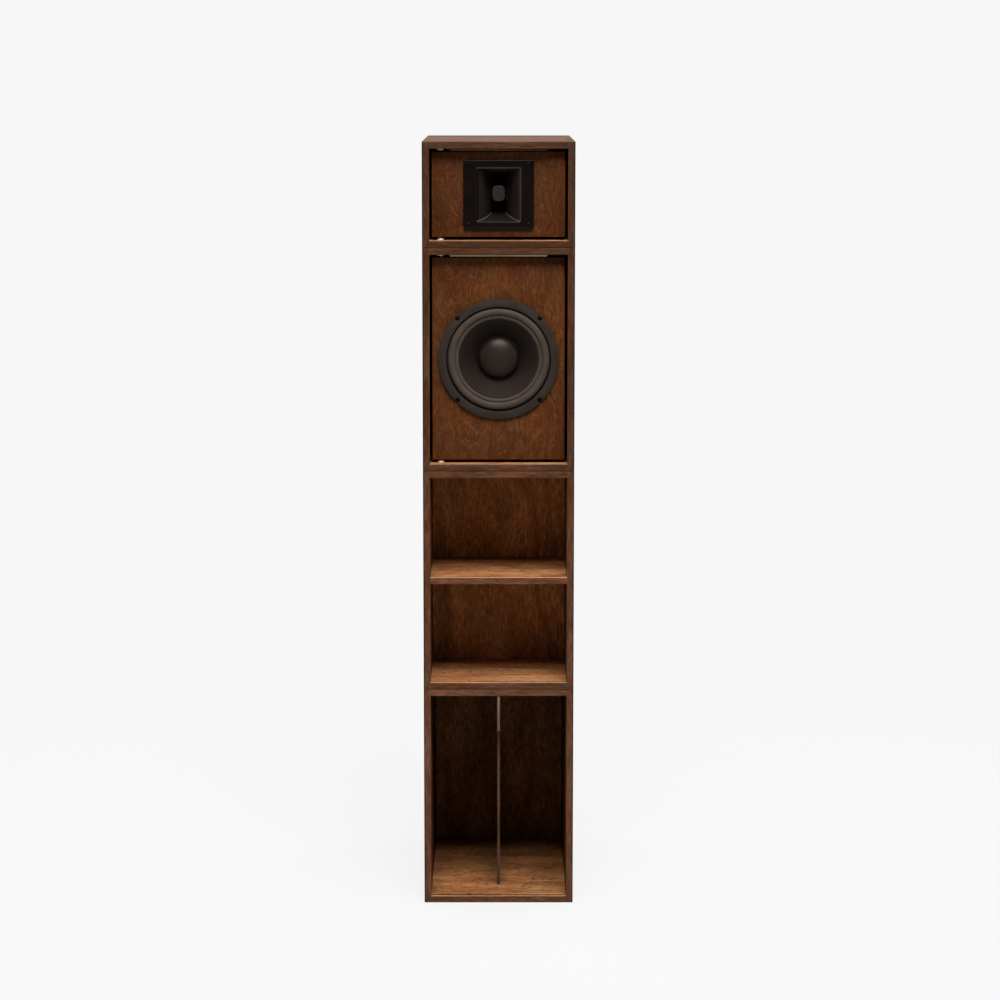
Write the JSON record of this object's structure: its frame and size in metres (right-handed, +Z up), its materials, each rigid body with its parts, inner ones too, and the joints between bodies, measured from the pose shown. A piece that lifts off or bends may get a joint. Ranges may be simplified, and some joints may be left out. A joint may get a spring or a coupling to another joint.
{
  "type": "cd rack",
  "caption": "Tall wooden tower of stacked boxes: a record box with a divider, a shelved disc box, and woofer and horn boxes whose recessed baffles swing open as doors.",
  "frame": {"origin": "middle of the base, on the floor", "axes": "+Z up; -Y towards the front, where the bays and baffles are; +X towards the viewer's right"},
  "size_m": [0.26, 0.415, 1.328],
  "materials": {
    "board_wood": "stained veneer, satin oil",
    "lipping_wood": "stained solid wood, satin oil",
    "panel_wood": "stained plywood, satin oil",
    "baffle_wood": "stained rotary-cut plywood, satin oil",
    "pale_wood": "unstained softwood",
    "dowel_wood": "plain beech",
    "pin_steel": "turned steel",
    "bush_nylon": "white nylon",
    "magnet_plating": "nickel plate",
    "strike_steel": "zinc plate",
    "black_plastic": "fine moulded texture",
    "horn_plastic": "satin moulding",
    "red_plastic": "moulded",
    "socket_brass": "plated",
    "carrier_board": "plain fibreboard",
    "coil_copper": "enamelled copper winding",
    "capacitor_film": "film wrap",
    "basket_paint": "satin black powder coat",
    "surround_rubber": "satin butyl rubber",
    "spider_cloth": "treated cotton",
    "ferrite": "ground ferrite",
    "motor_steel": "zinc plate",
    "cone_paper": "coated pulp",
    "cap_paper": "coated cloth dome",
    "coil_former": "foil former with copper winding",
    "mesh_metal": "fine woven mesh",
    "black_screw": "black zinc"
  },
  "bodies": {
    "cabinet": {"record_left_side": "board_wood", "record_right_side": "board_wood", "record_top": "board_wood", "record_bottom": "board_wood", "record_back": "panel_wood", "record_lipping": "lipping_wood", "disc_left_side": "board_wood", "disc_right_side": "board_wood", "disc_top": "board_wood", "disc_bottom": "board_wood", "disc_back": "panel_wood", "disc_lipping": "lipping_wood", "woofer_left_side": "board_wood", "woofer_right_side": "board_wood", "woofer_top": "board_wood", "woofer_bottom": "board_wood", "woofer_back": "panel_wood", "woofer_lipping": "lipping_wood", "horn_left_side": "board_wood", "horn_right_side": "board_wood", "horn_top": "board_wood", "horn_bottom": "board_wood", "horn_back": "panel_wood", "horn_lipping": "lipping_wood", "disc_shelf": "board_wood", "record_divider": "panel_wood", "stacking_dowels": "dowel_wood", "pivot_bushes": "bush_nylon", "stop_battens": "pale_wood", "catch_magnets": "magnet_plating", "terminal_cups": "black_plastic", "terminal_sockets": "socket_brass", "red_collars": "red_plastic", "black_collars": "black_plastic", "crossover_board": "carrier_board", "crossover_coil": "coil_copper", "crossover_capacitors": "capacitor_film"},
    "woofer_door": {"woofer_door": "baffle_wood", "woofer_door_pins": "pin_steel", "woofer_strike_disc": "strike_steel", "woofer_basket": "basket_paint", "woofer_surround": "surround_rubber", "woofer_spider": "spider_cloth", "woofer_top_plate": "motor_steel", "woofer_magnet": "ferrite", "woofer_pole_piece": "motor_steel", "woofer_screws": "black_screw"},
    "woofer_cone": {"woofer_cone": "cone_paper", "woofer_dust_cap": "cap_paper", "woofer_voice_coil": "coil_former"},
    "horn_door": {"horn_door": "baffle_wood", "horn_door_pins": "pin_steel", "horn_strike_disc": "strike_steel", "horn_flare": "horn_plastic", "throat_mesh": "mesh_metal", "horn_driver_housing": "motor_steel", "horn_magnet": "ferrite", "horn_screws": "black_screw"}
  },
  "joints": [
    {"name": "woofer_door_swing", "type": "hinge", "parent": "cabinet", "child": "woofer_door", "pos_m": [-0.099, -0.181, 0.9575], "axis": [0, 0, -1], "range_deg": [0, 90]},
    {"name": "horn_door_swing", "type": "hinge", "parent": "cabinet", "child": "horn_door", "pos_m": [-0.099, -0.181, 1.2385], "axis": [0, 0, -1], "range_deg": [0, 105]},
    {"name": "woofer_cone_travel", "type": "slide", "parent": "woofer_door", "child": "woofer_cone", "axis": [0, 1, 0], "range_m": [-0.005, 0.005], "stiffness_N_per_m": 1600, "deforming": ["woofer_surround", "woofer_spider"]}
  ]
}
